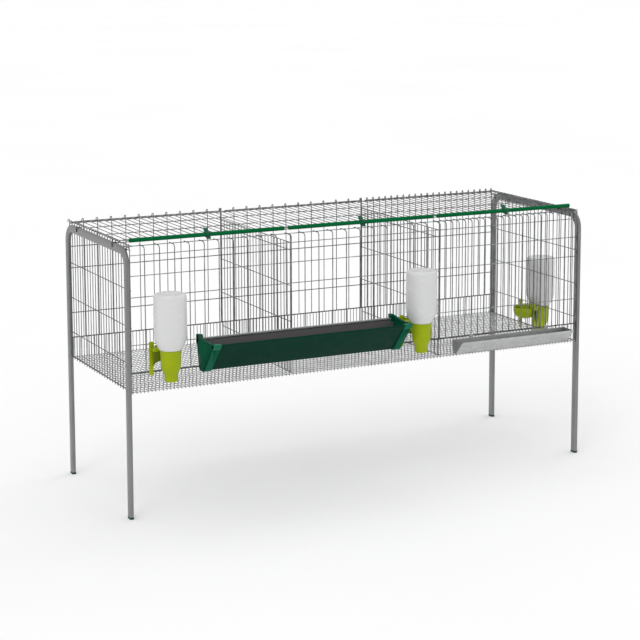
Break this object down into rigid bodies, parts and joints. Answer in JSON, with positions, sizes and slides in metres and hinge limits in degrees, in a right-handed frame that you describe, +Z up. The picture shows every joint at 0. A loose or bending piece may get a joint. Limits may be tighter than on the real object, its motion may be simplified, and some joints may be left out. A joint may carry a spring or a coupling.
{
  "type": "poultry fattening cage",
  "caption": "Long galvanised wire poultry fattening cage on legs, divided into compartments with hinged wire lids, feed troughs and bottle drinkers.",
  "frame": {"origin": "bottom centre of the overall box, on the ground", "axes": "+X along the cage towards the end with the outside drinker, +Y towards the back wall, +Z up; the feed troughs face -Y"},
  "size_m": [1.778, 0.7036, 0.899],
  "materials": {
    "wire_steel": "satin",
    "tube_steel": "satin",
    "sheet_steel": "satin",
    "sleeve_plastic": "matte",
    "clip_plastic": "matte",
    "feeder_plastic": "matte",
    "cap_plastic": "matte",
    "plug_plastic": "matte",
    "lime_plastic": "gloss",
    "bottle_plastic": "satin"
  },
  "bodies": {
    "cage": {"back_floor_band": "wire_steel", "back_left_foot_plug": "plug_plastic", "back_right_foot_plug": "plug_plastic", "feeder_body": "feeder_plastic", "feeder_left_cap": "cap_plastic", "feeder_right_cap": "cap_plastic", "front_floor_band": "wire_steel", "front_left_foot_plug": "plug_plastic", "front_right_foot_plug": "plug_plastic", "left_back_wall": "wire_steel", "left_drinker_bottle": "bottle_plastic", "left_drinker_holder": "lime_plastic", "left_end_frame": "tube_steel", "left_end_wall": "wire_steel", "left_floor_mesh": "wire_steel", "left_frame_hooks": "wire_steel", "left_front_edge": "wire_steel", "left_front_wall": "wire_steel", "left_partition": "wire_steel", "middle_back_wall": "wire_steel", "middle_drinker_bottle": "bottle_plastic", "middle_drinker_holder": "lime_plastic", "middle_floor_mesh": "wire_steel", "middle_front_edge": "wire_steel", "middle_front_wall": "wire_steel", "right_back_wall": "wire_steel", "right_drinker_bottle": "bottle_plastic", "right_drinker_holder": "lime_plastic", "right_end_frame": "tube_steel", "right_end_wall": "wire_steel", "right_floor_mesh": "wire_steel", "right_frame_hooks": "wire_steel", "right_front_edge": "wire_steel", "right_front_wall": "wire_steel", "right_partition": "wire_steel", "sheet_trough": "sheet_steel"},
    "left_lid_body": {"left_latch_clip": "clip_plastic", "left_lid": "wire_steel", "left_lid_sleeve": "sleeve_plastic"},
    "middle_lid_body": {"middle_latch_clip": "clip_plastic", "middle_lid": "wire_steel", "middle_lid_sleeve": "sleeve_plastic"},
    "right_lid_body": {"right_latch_clip": "clip_plastic", "right_lid": "wire_steel", "right_lid_sleeve": "sleeve_plastic"}
  },
  "joints": [
    {"name": "left_lid_hinge", "type": "hinge", "parent": "cage", "child": "left_lid_body", "pos_m": [-0.598, 0.3453, 0.8588], "axis": [-1, 0, 0], "range_deg": [0, 100]},
    {"name": "middle_lid_hinge", "type": "hinge", "parent": "cage", "child": "middle_lid_body", "pos_m": [-0.048, 0.3453, 0.8588], "axis": [-1, 0, 0], "range_deg": [0, 100]},
    {"name": "right_lid_hinge", "type": "hinge", "parent": "cage", "child": "right_lid_body", "pos_m": [0.502, 0.3453, 0.8588], "axis": [-1, 0, 0], "range_deg": [0, 100]}
  ]
}
